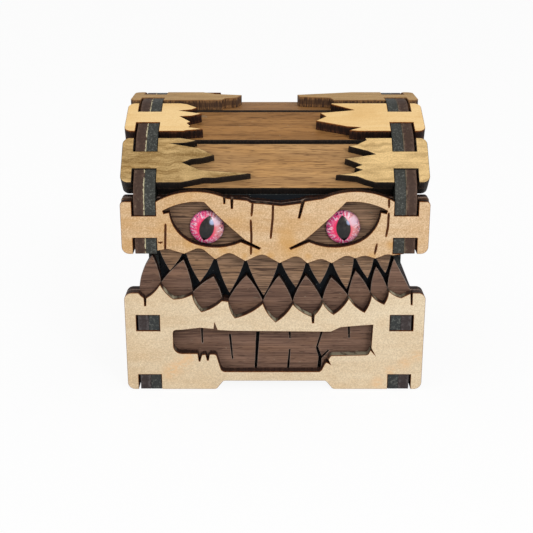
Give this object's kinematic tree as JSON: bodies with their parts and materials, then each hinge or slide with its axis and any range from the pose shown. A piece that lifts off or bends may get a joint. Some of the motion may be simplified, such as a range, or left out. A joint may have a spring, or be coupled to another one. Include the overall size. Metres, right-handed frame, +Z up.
{
  "type": "dice storage chest",
  "caption": "Small hinged chest of layered plywood with a barrel lid, a toothed mouth across the front and glass eyes, for storing dice.",
  "frame": {"origin": "centre of the bounding box's bottom face, on the plane that the chest stands on", "axes": "+Z up, -Y towards the front with the eyes and teeth, +X to the right of someone facing the front"},
  "size_m": [0.09, 0.0826, 0.0837],
  "materials": {
    "birch_ply": "sanded, unfinished, dark laser-cut edges",
    "walnut_ply": "stained dark brown",
    "black_ply": "stained black",
    "glass": "clear dome over a pink iris",
    "brass": "plain",
    "screw_steel": "plain"
  },
  "bodies": {
    "base": {"base_back_backing": "walnut_ply", "base_back_face": "birch_ply", "base_back_liner": "black_ply", "base_floor": "black_ply", "base_front_backing": "walnut_ply", "base_front_face": "birch_ply", "base_front_liner": "black_ply", "base_inner_wall_left": "black_ply", "base_inner_wall_right": "black_ply", "base_outer_wall_left": "walnut_ply", "base_outer_wall_right": "walnut_ply", "hinge_left_base_leaf": "brass", "hinge_left_pin": "brass", "hinge_right_base_leaf": "brass", "hinge_right_pin": "brass", "hinge_screws_base": "screw_steel"},
    "lid": {"eye_left": "glass", "eye_right": "glass", "hinge_left_lid_leaf": "brass", "hinge_right_lid_leaf": "brass", "hinge_screws_lid": "screw_steel", "lid_back_backing": "walnut_ply", "lid_back_face": "birch_ply", "lid_back_liner": "black_ply", "lid_face": "birch_ply", "lid_face_backing": "walnut_ply", "lid_front_liner": "black_ply", "lid_inner_wall_left": "black_ply", "lid_inner_wall_right": "black_ply", "lid_outer_wall_left": "walnut_ply", "lid_outer_wall_right": "walnut_ply", "lid_plank_back_lower": "walnut_ply", "lid_plank_back_upper": "walnut_ply", "lid_plank_front_lower": "walnut_ply", "lid_plank_front_upper": "walnut_ply", "lid_plank_top": "walnut_ply", "lid_strip_back_lower_left": "birch_ply", "lid_strip_back_lower_right": "birch_ply", "lid_strip_back_upper_left": "birch_ply", "lid_strip_back_upper_right": "birch_ply", "lid_strip_front_lower_left": "birch_ply", "lid_strip_front_lower_right": "birch_ply", "lid_strip_front_upper_left": "birch_ply", "lid_strip_front_upper_right": "birch_ply", "lid_strip_top_left": "birch_ply", "lid_strip_top_right": "birch_ply"}
  },
  "joints": [
    {"name": "lid_hinge", "type": "hinge", "parent": "base", "child": "lid", "pos_m": [0, 0.0401, 0.0435], "axis": [-1, 0, 0], "range_deg": [0, 180]}
  ]
}
